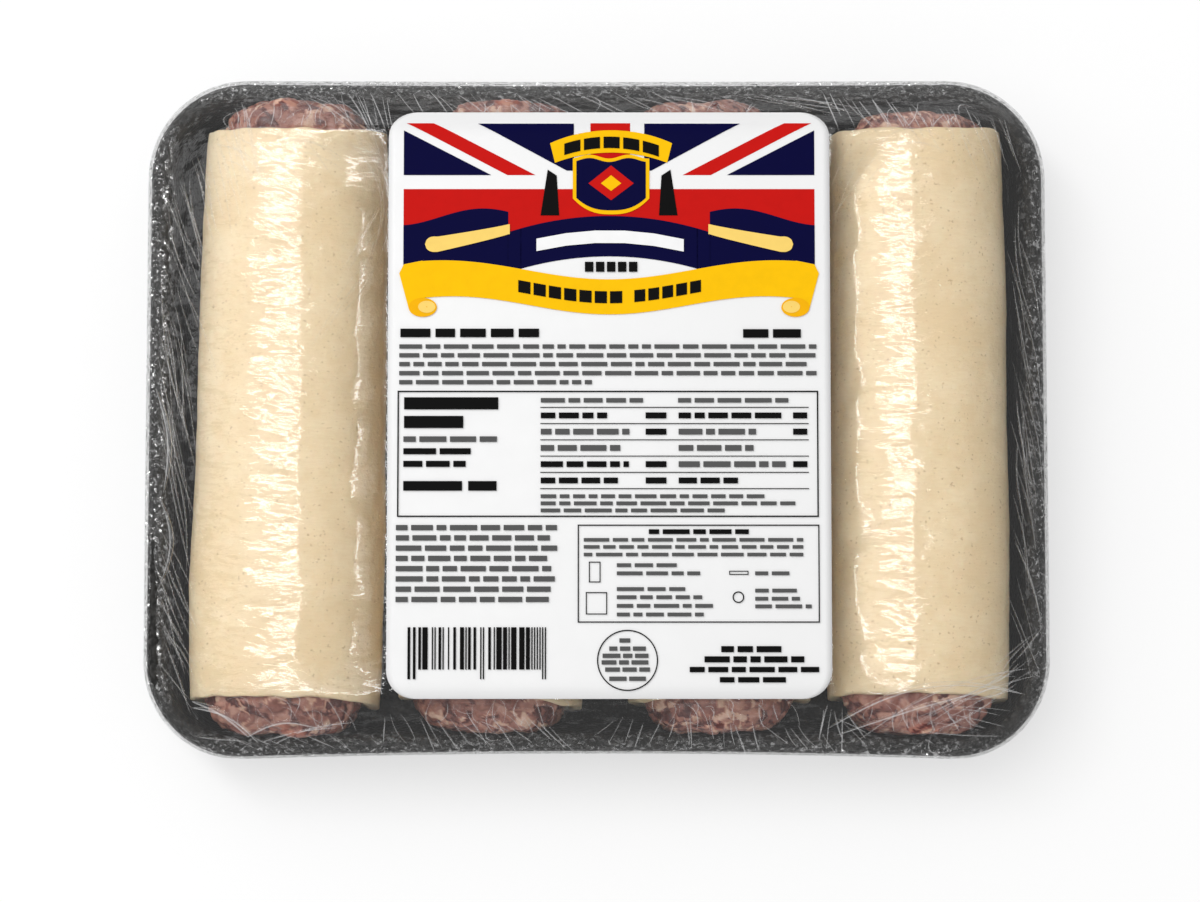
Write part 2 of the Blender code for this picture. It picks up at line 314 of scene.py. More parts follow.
foam_height = TRAY_TOP - TRAY_BASE
tray_profile = np.concatenate(
    [
        arc_points((7.5 * MM, 3.6 * MM), (3.8 * MM, 3.6 * MM), -90, -180, 5),
        np.stack([np.linspace(3.5, 1.3, 12) * MM, np.linspace(4.5 * MM, foam_height - 4.4 * MM, 12)], axis=-1),
        [[1.2 * MM, foam_height - 4.2 * MM], [0.5 * MM, foam_height - 4.2 * MM]],
        arc_points((2.1 * MM, foam_height - 3.0 * MM), (2.1 * MM, 3.0 * MM), -180, -270, 7),
        arc_points((2.1 * MM, foam_height - 1.9 * MM), (1.7 * MM, 1.9 * MM), 90, 0, 6)[1:],
        np.stack([np.linspace(3.9, 5.8, 10) * MM, np.linspace(foam_height - 2.6 * MM, 7.4 * MM, 10)], axis=-1),
        arc_points((9.5 * MM, 6.8 * MM), (3.6 * MM, 3.6 * MM), 180, 270, 6),
    ]
)
edge, outward = rim_outline(880)
inset, height = tray_profile[:, :1], tray_profile[:, 1:]
tray_x = edge[:, 0] - inset * outward[:, 0]
tray_y = edge[:, 1] - inset * outward[:, 1]
tray_grid = np.stack([tray_x, bowed(tray_x, tray_y), np.broadcast_to(TRAY_BASE + height, tray_x.shape)], axis=-1)
tray_grid[..., 2] += BEAD_RELIEF * ripples(tray_grid, 2.4 * MM, seed=3, count=40) * (height > 3 * MM)

foam_finish, foam, where = new_material("black foam")
beads = where.node("ShaderNodeTexVoronoi", {"feature": "SMOOTH_F1"}, {"Vector": where, "Scale": 800.0, "Smoothness": 0.6})
dust = where.noise(420.0, 4.0)
foam_relief = (1.0 - beads).bump(0.8 * MM, 1.0)
feed(
    foam,
    {
        "Base Color": dust.between(0.35, 0.75).blend((0.010, 0.0098, 0.0090), (0.030, 0.0285, 0.026)),
        "Roughness": 0.34 + 0.2 * where.noise(250.0, 2.0),
        "Specular IOR Level": 0.25,
        "Normal": foam_relief,
    },
)
tray = add_surface("tray_foam", tray_grid, foam_finish, close_columns=True, caps=True)
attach(tray, "root")
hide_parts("tray")


# --- The pastry -------------------------------------------------------------------------------
# A sheet of raw pastry, rolled round the meat and closed underneath. It is cut off a little short
# of the meat at both ends, more so on top, where the film pulls it back.

ROLL_MIDDLE = 19.2 * MM
ROLL_HALF_HEIGHT = 14.75 * MM
PASTRY_WALL = 3.0 * MM
TURNS = (-1.0, -1.7, 1.7, -0.2)
TAPERS = (0.05, 0.02, 0.02, 0.05)
WIDTHS = (38.4 * MM, 38.0 * MM, 37.5 * MM, 36.8 * MM)
LENGTHS = (111.8 * MM, 111.4 * MM, 111.4 * MM, 111.2 * MM)
ROUNDNESS_ABOVE = 2.3
ROUNDNESS_BELOW = 3.0


def oval(angle, half_width, half_height):
    """A flattened oval: cos and sin raised to a power that is blunter below than above."""
    cosine, sine = np.cos(angle), np.sin(angle)
    power = np.where(sine >= 0, 2 / ROUNDNESS_ABOVE, 2 / ROUNDNESS_BELOW)
    across = half_width * np.sign(cosine) * np.abs(cosine) ** power
    up = half_height * np.sign(sine) * np.abs(sine) ** power
    return across, up


def roll_middle(number):
    """Where the middle of a roll lies, from its pastry's box."""
    low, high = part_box(f"pastry_{number}")
    return (low.x + high.x) / 2, (low.y + high.y) / 2


def placed(grid, number):
    """Turns a roll's own grid to its place in the tray."""
    turn = math.radians(TURNS[number - 1])
    middle_x, middle_y = roll_middle(number)
    x = middle_x + grid[..., 0] * math.cos(turn) - grid[..., 1] * math.sin(turn)
    y = middle_y + grid[..., 0] * math.sin(turn) + grid[..., 1] * math.cos(turn)
    return np.stack([x, y, ROLL_MIDDLE + grid[..., 2]], axis=-1)


def half_width_at(number, share):
    """Half of a roll's width at a share of its length, from the front (0) to the back (1)."""
    share = np.clip(share, 0, 1)
    return WIDTHS[number - 1] / 2 * (1 + TAPERS[number - 1] * (0.5 - share)) * (1 - 0.03 * np.abs(2 * share - 1) ** 8)


def pastry_grid(number):
    """A tube with a wall: out along its outside, round the cut edge, back along its inside.

    Rows go round that section and columns go round the roll. The length of the tube and the depth
    into its wall are functions of the row, and the cut edge reaches further out at the sides.
    """
    length = LENGTHS[number - 1]
    outside = np.linspace(-1, 1, 120)
    edge_turn = np.radians(np.linspace(0, 180, 7))[1:-1]
    edge_depth = (1 - np.cos(edge_turn)) / 2
    edge_reach = np.sin(edge_turn)
    inside = np.linspace(1, -1, 24)
    along_share = np.concatenate([outside, np.ones(5), inside, -np.ones(5)])[:, None]
    depth = np.concatenate([np.zeros(120), edge_depth, np.ones(24), edge_depth[::-1]])[:, None]
    bulge = np.concatenate([np.zeros(120), edge_reach, np.zeros(24), -edge_reach])[:, None]
    angle = np.linspace(0, 2 * math.pi, 170, endpoint=False)[None, :]

    half_width = half_width_at(number, 0.5 + along_share / 2)
    wall = PASTRY_WALL * depth
    across, up = oval(angle + 0 * along_share, half_width - wall, ROLL_HALF_HEIGHT - wall + 0 * half_width)
    side = np.clip(np.abs(across) / half_width, 0, 1) ** 2
    lower = (1 - np.sin(angle)) / 2
    reach = (0.3 + 1.7 * side * lower + 0.9 * (across > 0) * side) * MM
    cut = 0.25 * MM * ripples(np.stack([across, up, 0 * up + number * 0.1], axis=-1), 9 * MM, seed=20 + number)
    end_share = np.abs(along_share) ** 8
    along = along_share * length / 2 + np.sign(along_share) * end_share * (reach + cut) + 0.5 * MM * bulge
    grid = np.stack([across, along, up], axis=-1)

    # Hand rolling leaves the outside gently uneven, and its top edges are pressed down.
    lumps = ripples(grid, 34 * MM, seed=40 + number) * 0.18 * MM + ripples(grid, 9 * MM, seed=50 + number) * 0.05 * MM
    pressed = 0.9 * MM * np.abs(along_share) ** 30 * np.clip(np.sin(angle), 0, 1)
    shrink = (1 - depth) * (0.2 * MM - lumps + pressed)
    radius = np.hypot(across, up)
    grid[..., 0] -= across / radius * shrink
    grid[..., 2] -= up / radius * shrink
    return placed(grid, number)


pastry_finish, pastry, where = new_material("raw pastry")
mottle = (0.6 * where.noise(70.0, 3.0, 0.55) + 0.4 * where.noise(320.0, 4.0, 0.6)).between(0.36, 0.64)
grain = where.stretched((1.0, 5.0, 1.0)).noise(420.0, 4.0, 0.6)
specks = where.noise(1500.0, 1.0)
dough_colour = mottle.blend((0.82, 0.655, 0.41), (0.88, 0.735, 0.50))
dough_colour = (grain.between(0.35, 0.7) * 0.22).blend(dough_colour, (0.74, 0.55, 0.31))
dough_colour = (specks.between(0.66, 0.76) * 0.55).blend(dough_colour, (0.46, 0.31, 0.15))
feed(
    pastry,
    {
        "Base Color": dough_colour,
        "Roughness": 0.50 + 0.15 * mottle,
        "Subsurface Weight": 0.12,
        "Subsurface Scale": 0.002,
        "Normal": (grain * 0.6 + mottle * 1.2).bump(0.2 * MM, 0.8),
    },
)
for number in (1, 2, 3, 4):
    piece = add_surface(f"pastry_sheet_{number}", pastry_grid(number), pastry_finish, True, True)
    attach(piece, "root")
    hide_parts(f"pastry_{number}")


# --- The meat ---------------------------------------------------------------------------------
# Coarse raw sausage meat, minced with its fat. It runs through each roll and stands out of both
# ends in a crumbly dome, with strands of dark and pink meat and pale fat.

MEAT_GAP = 0.3 * MM
LUMP_SIZE = 1.7 * MM
LUMP_RELIEF = 1.05 * MM
LUMPS_PER_END = 460
TIP_LIFT = 4.5 * MM
EXTRA_REACH = 0.9 * MM


def meat_grid(number):
    """A core that fills the pastry and closes in a blunt dome at each end.

    The size of each ring is the cosine of its angle over the dome to a small power.
    """
    low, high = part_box(f"filling_{number}")
    _, middle_y = roll_middle(number)
    clear = PASTRY_WALL + MEAT_GAP
    edge = LENGTHS[number - 1] / 2
    dome = np.radians(np.linspace(89.5, 0, 44))
    front_reach = (middle_y - low.y) - edge + EXTRA_REACH
    back_reach = (high.y - middle_y) - edge + EXTRA_REACH
    inner = 3.0 * MM
    front = -(edge - inner) - (inner + front_reach) * np.sin(dome)
    back = (edge - inner) + (inner + back_reach) * np.sin(dome)
    straight = np.linspace(-(edge - inner), edge - inner, 12)[1:-1]
    along = np.concatenate([front, straight, back[::-1]])[:, None]
    size = np.concatenate([np.cos(dome) ** 0.42, np.ones(10), (np.cos(dome) ** 0.42)[::-1]])[:, None]
    angle = np.linspace(0, 2 * math.pi, 190, endpoint=False)[None, :]
    half_width = half_width_at(number, 0.5 + along / (2 * edge)) - clear
    across, up = oval(angle + 0 * along, half_width * size, (ROLL_HALF_HEIGHT - clear) * size)
    return np.stack([across, along + 0 * across, up + TIP_LIFT * (1 - size)], axis=-1), np.abs(along) > edge - inner


def add_meat(number):
    """Raises the domes into lumps, and records on each point which kind of lump it is in.

    Each point's height falls off with its distance from the nearest of many random lump centres.
    """
    grid, outside = meat_grid(number)
    rng = np.random.default_rng(70 + number)
    points = grid.reshape(-1, 3)
    shown = np.broadcast_to(outside, grid.shape[:2]).reshape(-1)
    domes = np.flatnonzero(shown)
    warped = points + 0.9 * MM * np.stack([ripples(points, 3.2 * MM, seed=80 + k) for k in range(3)], axis=-1)
    nearest = np.full(len(points), 9.0)
    kind = np.zeros(len(points))
    for end in (-1, 1):
        own = domes[points[domes, 1] * end > 0]
        centres = warped[rng.choice(own, LUMPS_PER_END, replace=False)]
        kinds = rng.choice([0.12, 0.34, 0.48, 0.62, 0.88], LUMPS_PER_END, p=[0.16, 0.27, 0.27, 0.17, 0.13])
        away = np.linalg.norm(warped[own][:, None, :] - centres[None], axis=-1)
        nearest[own] = away.min(axis=1)
        kind[own] = kinds[away.argmin(axis=1)]
    lump = np.clip(1 - (nearest / LUMP_SIZE) ** 2, 0, 1) * LUMP_RELIEF
    lump += 0.35 * MM * ripples(points, 7 * MM, seed=90 + number)
    along_share = np.clip((np.abs(points[:, 1]) - 50 * MM) / (8 * MM), 0, 1)
    direction = points * [1, 0, 1] + np.sign(points[:, 1:2]) * [[0, 12 * MM, 0]] * along_share[:, None]
    direction = direction / np.linalg.norm(direction, axis=1, keepdims=True)
    points = points + direction * ((lump - 0.45 * MM) * shown)[:, None]
    piece = add_surface(
        f"meat_{number}", placed(points.reshape(grid.shape), number), meat_finish, close_columns=True, caps=True
    )
    layer = piece.data.attributes.new("lump_kind", "FLOAT", "POINT")
    layer.data.foreach_set("value", kind.astype(np.float32))
    return piece


meat_finish, meat, where = new_material("sausage meat")
kind_of_lump = where.node("ShaderNodeAttribute", {"attribute_name": "lump_kind"}, {}, output=2)
blur = where.noise(900.0, 3.0)
meat_colour = (kind_of_lump + 0.35 * (blur - 0.5)).node(
    "ShaderNodeValToRGB",
    {
        "stops": [
            (0.08, (0.080, 0.018, 0.017)),
            (0.30, (0.23, 0.080, 0.062)),
            (0.52, (0.37, 0.165, 0.122)),
            (0.72, (0.50, 0.27, 0.20)),
            (0.95, (0.68, 0.47, 0.35)),
        ]
    },
    {"Fac": kind_of_lump + 0.35 * (blur - 0.5)},
)
feed(
    meat,
    {
        "Base Color": meat_colour,
        "Roughness": 0.24 + 0.3 * blur,
        "Subsurface Weight": 0.15,
        "Subsurface Scale": 0.002,
        "Normal": where.noise(700.0, 3.0).bump(0.25 * MM, 0.5),
    },
)
for number in (1, 2, 3, 4):
    piece = add_meat(number)
    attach(piece, "root")
    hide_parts(f"filling_{number}")


# --- The stretched film -----------------------------------------------------------------------
# Clear film, pulled over the rolls and the rim and sealed under the tray. It lies on the highest
# points, spans the gaps between them, clings to the rim and is full of fine pulls and wrinkles.

FILM_SOFTNESS = 0.16 * MM
RIM_REST = TRAY_TOP - 2.2 * MM
FILM_GAP = 0.5 * MM  # between the foam's rim and the film round it

film_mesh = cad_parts["film"].data
film_corners = np.zeros(len(film_mesh.vertices) * 3)
film_mesh.vertices.foreach_get("co", film_corners)
film_corners = film_corners.reshape(-1, 3)
film_mesh.calc_loop_triangles()
film_faces = np.zeros(len(film_mesh.loop_triangles) * 3, int)
film_mesh.loop_triangles.foreach_get("vertices", film_faces)
film_triangles = film_corners[film_faces.reshape(-1, 3)]
facing = np.cross(film_triangles[:, 1] - film_triangles[:, 0], film_triangles[:, 2] - film_triangles[:, 0])
large = np.linalg.norm(facing, axis=1) > 1e-9
facing = facing[large] / np.linalg.norm(facing[large], axis=1, keepdims=True)
film_triangles = film_triangles[large]
outer = (facing * (film_triangles.mean(axis=1) - [0, 0, ROLL_MIDDLE])).sum(axis=1) > 0
upper = (facing[:, 2] > 0.05) & outer
plane_normals = facing[upper]
plane_offsets = (plane_normals * film_triangles[upper, 0]).sum(axis=1)


def film_height(x, y, softness=FILM_SOFTNESS):
    """The height of taut film: the lowest of the planes that its flat parts lie in.

    The lowest is taken softly, as -k log(sum(exp(-z / k))), which rounds the creases off.
    """
    flat_x, flat_y = np.ravel(x), np.ravel(y)
    slopes = plane_normals[:, :2] / plane_normals[:, 2:]
    levels = plane_offsets / plane_normals[:, 2]
    heights = levels[:, None] - slopes[:, :1] * flat_x - slopes[:, 1:] * flat_y
    lowest = heights.min(axis=0)
    soft = lowest - softness * np.log(np.exp(-(heights - lowest) / softness).sum(axis=0))
    return soft.reshape(np.shape(x))


def pastry_top(x, y):
    """The height of the pastry under a place, or 0 where there is none."""
    top = np.zeros(np.shape(x))
    for number in (1, 2, 3, 4):
        turn = math.radians(TURNS[number - 1])
        middle_x, middle_y = roll_middle(number)
        across = (x - middle_x) * math.cos(turn) + (y - middle_y) * math.sin(turn)
        along = (y - middle_y) * math.cos(turn) - (x - middle_x) * math.sin(turn)
        length = LENGTHS[number - 1]
        share = np.abs(across) / half_width_at(number, 0.5 + along / length)
        rise = np.clip(1 - share**ROUNDNESS_ABOVE, 0, 1) ** (1 / ROUNDNESS_ABOVE)
        over = (share < 1) & (np.abs(along) < length / 2)
        top = np.where(over, ROLL_MIDDLE + ROLL_HALF_HEIGHT * rise, top)
    return top


label_low, label_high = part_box("label")
LABEL_X = (label_low.x + label_high.x) / 2
LABEL_Y = (label_low.y + label_high.y) / 2
LABEL_HALF_WIDTH = (label_high.x - label_low.x) / 2
LABEL_HALF_LENGTH = (label_high.y - label_low.y) / 2
LABEL_RISE = 0.50 * MM
LABEL_STIFFNESS = 0.5 * MM
UNDER_LABEL = 0.40 * MM


def label_height(x, y):
    """The height of the label's face: it is stiffer than the film and bends less sharply."""
    return film_height(x, y, LABEL_STIFFNESS) + LABEL_RISE


# (the label's edge, the crest of the next roll, how deep the film sags between them)
SAGS = ((-41.6 * MM, -60 * MM, 3.2 * MM), (46.6 * MM, 64 * MM, 3.2 * MM))
SAG_UNEVENNESS = 0.30
CLING_GAP = 0.35 * MM
CLING_ROUNDING = 0.25 * MM


def film_surface(x, y):
    """The film itself: taut, but sagging beside the label until it lies on the pastry."""
    sag = np.zeros(np.shape(x))
    for start, end, depth in SAGS:
        share = np.clip((x - start) / (end - start), 0, 1)
        sag = sag + depth * np.sin(math.pi * share**0.7) ** 1.5
    uneven = 1 + SAG_UNEVENNESS * ripples(np.stack([0.4 * x, y], axis=-1), 15 * MM, seed=13)
    sag = sag * uneven * np.clip((56 * MM - np.abs(y)) / (8 * MM), 0, 1)
    taut = np.maximum(film_height(x, y), RIM_REST)
    resting = np.minimum(pastry_top(x, y) + CLING_GAP, taut)
    gap = np.abs(taut - sag - resting)
    height = np.minimum(np.maximum(taut - sag, resting) + CLING_ROUNDING * np.exp(-gap / CLING_ROUNDING), taut)
    covered = (np.abs(x - LABEL_X) < LABEL_HALF_WIDTH) & (np.abs(y - LABEL_Y) < LABEL_HALF_LENGTH)
    return np.where(covered, np.minimum(height, label_height(x, y) - UNDER_LABEL), height)


def film_grid():
    """The film over the top, as rows of y and columns of x that narrow to the rim's round corners."""
    crowd = 1.15
    share_x = np.sin(crowd * np.linspace(-1, 1, 300)) / math.sin(crowd)
    share_y = np.sin(crowd * np.linspace(-1, 1, 236)) / math.sin(crowd)
    half_x, half_y = RIM_HALF_X + FILM_GAP, RIM_HALF_Y + FILM_GAP
    radius = RIM_RADIUS + FILM_GAP
    y = share_y[:, None] * half_y + 0 * share_x[None, :]
    into_corner = np.clip(np.abs(y) - (half_y - radius), 0, radius)
    x = share_x[None, :] * (half_x - radius + np.sqrt(radius**2 - into_corner**2))
    y = bowed(x, y)
    return np.stack([x, y, film_surface(x, y)], axis=-1)


def ring_of(grid):
    """The border of a grid as one anticlockwise ring of points."""
    return np.concatenate([grid[0, :-1], grid[:-1, -1], grid[-1, :0:-1], grid[:0:-1, 0]])


def film_skirt(ring):
    """Rings from the rim down to the foot of the tray, then in across its base.

    The film is straight from the rim to the foot, and gathers into folds that deepen inwards.
    """
    core = np.array([RIM_HALF_X - RIM_RADIUS, RIM_HALF_Y - RIM_RADIUS])
    away = ring[:, :2] - np.clip(ring[:, :2], -core, core)
    away = away / np.linalg.norm(away, axis=1, keepdims=True)
    corner = np.abs(away[:, 0] * away[:, 1]) * 2
    walked = np.arctan2(ring[:, 1] / RIM_HALF_Y, ring[:, 0] / RIM_HALF_X)
    folds = np.sin(walked * 60 + 3 * np.sin(walked * 7)) * (0.25 + corner)
    down = np.linspace(0, 1, 14)[1:, None]
    foot = 6.9 * MM
    inset = down * foot * 0.55 + 0.45 * foot * down**6
    drop = np.minimum(down * 1.06, 1)
    z = RIM_REST + (0.5 * MM - RIM_REST) * drop
    inset = inset + 0.25 * MM * folds * np.sin(math.pi * down)
    sides = np.stack([ring[:, 0] - away[:, 0] * inset, ring[:, 1] - away[:, 1] * inset, z + 0 * inset], axis=-1)
    inward = (np.linspace(1, 0.04, 10)[1:] ** 1.2)[:, None, None]
    under = sides[-1][None] * [1, 1, 0] * inward
    under[..., 2] = 0.3 * MM + 0.12 * MM * folds * np.linspace(1, 0.2, 9)[:, None]
    return np.concatenate([sides, under])


over = film_grid()
clinging = np.clip((RIM_HALF_X - np.abs(over[..., 0])) / (6 * MM), 0, 1)
clinging = np.minimum(clinging, np.clip((RIM_HALF_Y - np.abs(over[..., 1])) / (6 * MM), 0, 1))
wrinkle = ripples(over[..., :2], 4.5 * MM, seed=11, count=30, across=(0.35, 1.0))
over[..., 2] += 0.045 * MM * wrinkle * clinging
open_below = np.clip((over[..., 2] - pastry_top(over[..., 0], over[..., 1]) - 2 * MM) / (3 * MM), 0, 1)
ring = ring_of(over)
skirt = film_skirt(ring)
rows, columns = over.shape[:2]
ring_numbers = ring_of(np.arange(rows * columns).reshape(rows, columns, 1))[:, 0]

film_finish, film_gloss, where = new_material("clear film")
tree = film_finish.node_tree
pebbles = where.node("ShaderNodeTexVoronoi", {"feature": "SMOOTH_F1"}, {"Vector": where, "Scale": 700.0, "Smoothness": 0.4})
at_rim = where.node("ShaderNodeAttribute", {"attribute_name": "at_rim"}, {}, output=2)
creases = where.stretched((0.35, 1.0, 0.6)).noise(620.0, 3.0, 0.55, 0.6)
broad = where.stretched((0.45, 1.0, 0.7)).noise(230.0, 2.0, 0.5, 0.4)
film_relief = (creases * 0.22 + broad * 0.8 + at_rim * (pebbles * 1.4 - 0.2)).bump(1.0 * MM, 1.0)
feed(
    film_gloss,
    {"Base Color": (1, 1, 1, 1), "Metallic": 1.0, "Roughness": 0.10, "Normal": film_relief},
)
clear = tree.nodes.new("ShaderNodeBsdfTransparent")
edge_on = where.node("ShaderNodeFresnel", {}, {"IOR": 1.45})
over_gap = where.node("ShaderNodeAttribute", {"attribute_name": "over_gap"}, {}, output=2)
leaning = where.node("ShaderNodeMapping", {}, {"Vector": where, "Rotation": (0, 0, 0.25), "Scale": (1.0, 0.07, 0.3)})
threads = leaning.noise(1300.0, 2.0, 0.5, 0.3).between(0.56, 0.72)
glints = where.noise(1000.0, 2.0, 0.6, 0.8).between(0.54, 0.64)
share = where.math("MINIMUM", edge_on * 1.65, 0.45) + over_gap * threads * 0.02 + at_rim * glints * 0.38
film_mix = tree.nodes.new("ShaderNodeMixShader")
tree.links.new(share.socket, film_mix.inputs[0])
tree.links.new(clear.outputs[0], film_mix.inputs[1])
tree.links.new(film_gloss.outputs[0], film_mix.inputs[2])
tree.links.new(film_mix.outputs[0], tree.nodes["Material Output"].inputs["Surface"])


def add_film():
    """One skin: the grid over the top, and rings that go on from its border to the base."""
    top_numbers = np.arange(rows * columns).reshape(rows, columns)
    top_quads = np.stack(
        [top_numbers[:-1, :-1], top_numbers[:-1, 1:], top_numbers[1:, 1:], top_numbers[1:, :-1]], axis=-1
    ).reshape(-1, 4)
    skirt_numbers = rows * columns + np.arange(skirt.shape[0] * skirt.shape[1]).reshape(skirt.shape[:2])
    rings = np.vstack([ring_numbers[None], skirt_numbers])
    rings = np.hstack([rings, rings[:, :1]])
    skirt_quads = np.stack([rings[:-1, :-1], rings[1:, :-1], rings[1:, 1:], rings[:-1, 1:]], axis=-1).reshape(-1, 4)
    faces = np.concatenate([top_quads, skirt_quads]).tolist()
    faces.append(rings[-1, :-1][::-1].tolist())
    points = np.concatenate([over.reshape(-1, 3), skirt.reshape(-1, 3)])
    mesh = bpy.data.meshes.new("film_wrap")
    mesh.from_pydata(points.tolist(), [], faces)
    mesh.shade_smooth()
    mesh.materials.append(film_finish)
    rim_share = 1 - np.concatenate([clinging.reshape(-1), np.zeros(skirt.shape[0] * skirt.shape[1])])
    gap_share = np.concatenate([open_below.reshape(-1), np.ones(skirt.shape[0] * skirt.shape[1])])
    for name, values in (("at_rim", rim_share), ("over_gap", gap_share)):
        layer = mesh.attributes.new(name, "FLOAT", "POINT")
        layer.data.foreach_set("value", values.astype(np.float32))
    return add_to_scene("film_wrap", mesh)


film = add_film()
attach(film, "root")
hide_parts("film")


# --- Pulls in the film ------------------------------------------------------------------------
# Where the film is stretched hardest it gathers into narrow pleats: fans of them run from the
# corners of the rolls to the rim, and a few cross the pastry. They catch the light as white lines.

PULLS = (
    # (start of the first, start of the last, end of the first, end of the last, how many)
    ((-87, 44), (-70, 63), (-80, 22), (-66, 46), 24),
    ((-88, 34), (-87, -6), (-81, 2), (-80, -36), 14),
    ((-86, 46), (-84, 10), (-78, 28), (-80, -14), 8),
    ((-59, 65), (-42, 65), (-48, 58), (-38, 46), 15),
    ((-40, 65), (-8, 65), (-34, 58), (0, 59), 16),
    ((-47, 24), (-42, 46), (-57, 10), (-48, 32), 9),
    ((-76, 55), (-60, 57), (-64, 40), (-52, 47), 5),
    ((-88, -20), (-86, -52), (-80, -40), (-78, -62), 14),
    ((-5, 65), (40, 65), (6, 58), (56, 60), 20),
    ((44, 65), (84, 60), (50, 57), (88, 46), 22),
    ((51, 55), (66, 53), (43, 40), (55, 36), 5),
    ((84, 44), (84, 0), (88, 22), (88, -24), 14),
    ((84, 10), (83, -40), (87, -14), (88, -56), 14),
    ((82, -50), (64, -62), (88, -40), (80, -66), 14),
    ((62, -60), (66, -64), (86, -49), (88, -52), 8),
    ((-44, -60), (-8, -61), (-42, -66), (-2, -66), 16),
    ((2, -60), (44, -62), (-2, -66), (50, -67), 18),
    ((44, -58), (50, -60), (42, -66), (56, -66), 9),
    ((-80, -64), (-50, -63), (-72, -66), (-46, -66), 9),
    ((50, -22), (56, -40), (60, -4), (68, -18), 4),
)
ARCS = (
    ((-77, 55), (-74, 50), (-64, 41), (-60, 36), 3),
    ((-68, 52), (-66, 48), (-50, 52), (-48, 47), 4),
    ((-52, 56), (-47, 56), (-46, 30), (-42, 28), 6),
    ((54, 52), (56, 46), (70, 55), (72, 50), 4),
)
FOLDS = (
    ((-80, -56), (-80, -58), (-70, -65), (-66, -65), 2),
    ((-70, -64), (-62, -65), (-52, -61), (-46, -61), 3),
    ((44, -62), (52, -65), (84, -56), (86, -50), 3),
    ((-88, 30), (-88, -30), (-87, 8), (-87, -50), 2),
)
LOOPS_PER_END = 18
PULL_STATIONS = 20
PULL_SIDES = 6


def pull_strips(families, seed, half_width, height, bow_spread, bow=0.0, spread=1.0):
    """Half-round ridges on the film, from a random place on one line to one on another.

    Each is a bowed line from its start to its end, and its width is a sine along it.
    """
    rng = np.random.default_rng(seed)
    starts, ends = [], []
    for first, last, end_first, end_last, count in families:
        share = (np.arange(count) + rng.uniform(0.1, 0.9, count))[:, None] / count
        first, last, end_first, end_last = (np.array(p, float) for p in (first, last, end_first, end_last))
        starts.append(first + (last - first) * share + rng.normal(0, 0.7 * spread, (count, 2)))
        ends.append(end_first + (end_last - end_first) * share + rng.normal(0, 1.3 * spread, (count, 2)))
    start, end = np.concatenate(starts) * MM, np.concatenate(ends) * MM
    count = len(start)
    cut = rng.uniform(0, 0.35, (count, 1)) * rng.choice([0, 1], (count, 1))
    end = end + (start - end) * cut
    along = np.linspace(0, 1, PULL_STATIONS)[None, :, None]
    aside = np.stack([-(end - start)[:, 1], (end - start)[:, 0]], axis=-1)
    bowing = rng.normal(bow, bow_spread, (count, 1, 1)) * np.sin(math.pi * along)
    line = start[:, None] + (end - start)[:, None] * along + aside[:, None] * bowing
    aside = aside / np.linalg.norm(aside, axis=1, keepdims=True)
    size = rng.uniform(0.4, 1.25, (count, 1, 1)) * np.sin(math.pi * along) ** 0.6 + 0.02
    turn = np.radians(np.linspace(0, 180, PULL_SIDES))
    across = size * half_width * np.cos(turn)
    xy = line[:, :, None] + aside[:, None, None] * across[..., None]
    z = film_surface(xy[..., 0], xy[..., 1]) + size * height * np.sin(turn) + 0.03 * MM
    return np.concatenate([xy, z[..., None]], axis=-1)


def add_strips(name, strips, material):
    """Many strips of points, of shape (strips, stations, sides, 3), as one mesh."""
    count, stations, sides = strips.shape[:3]
    number = np.arange(count * stations * sides).reshape(count, stations, sides)
    quads = np.stack(
        [number[:, :-1, :-1], number[:, 1:, :-1], number[:, 1:, 1:], number[:, :-1, 1:]], axis=-1
    ).reshape(-1, 4)
    mesh = bpy.data.meshes.new(name)
    mesh.from_pydata(strips.reshape(-1, 3).tolist(), [], quads.tolist())
    mesh.shade_smooth()
    mesh.materials.append(material)
    return add_to_scene(name, mesh)


pull_finish, pull_gloss, where = new_material("pulled film")
tree = pull_finish.node_tree
feed(pull_gloss, {"Base Color": (1, 1, 1, 1), "Metallic": 1.0, "Roughness": 0.16})
clear = tree.nodes.new("ShaderNodeBsdfTransparent")
pull_share = where.math("MINIMUM", where.node("ShaderNodeFresnel", {}, {"IOR": 1.45}) * 1.2, 0.36)
pull_mix = tree.nodes.new("ShaderNodeMixShader")
tree.links.new(pull_share.socket, pull_mix.inputs[0])
tree.links.new(clear.outputs[0], pull_mix.inputs[1])
tree.links.new(pull_gloss.outputs[0], pull_mix.inputs[2])
tree.links.new(pull_mix.outputs[0], tree.nodes["Material Output"].inputs["Surface"])
loops = []
for number in (1, 2, 3, 4):
    low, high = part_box(f"filling_{number}")
    left, right = low.x / MM + 4, high.x / MM - 4
    for inner_y, outer_y in ((-57, low.y / MM), (57, high.y / MM)):
        loops.append(((left, inner_y), (right, inner_y), (left + 2, outer_y), (right + 2, outer_y), LOOPS_PER_END))
pull_sets = [
    pull_strips(PULLS, 5, 0.15 * MM, 0.17 * MM, 0.035),
    pull_strips(ARCS, 6, 0.16 * MM, 0.16 * MM, 0.03, bow=0.22, spread=0.4),
    pull_strips(FOLDS, 7, 0.50 * MM, 0.60 * MM, 0.04, bow=0.10, spread=0.5),
    pull_strips(loops, 8, 0.14 * MM, 0.16 * MM, 0.45, spread=1.2),
]
pulls = add_strips("film_pulls", np.concatenate(pull_sets), pull_finish)
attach(pulls, "root")
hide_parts("film")


# --- The label --------------------------------------------------------------------------------
# A white coated paper label with round corners, stuck flat on the film over the two middle rolls.

LABEL_CORNER = 5.6 * MM
PAPER = 0.12 * MM


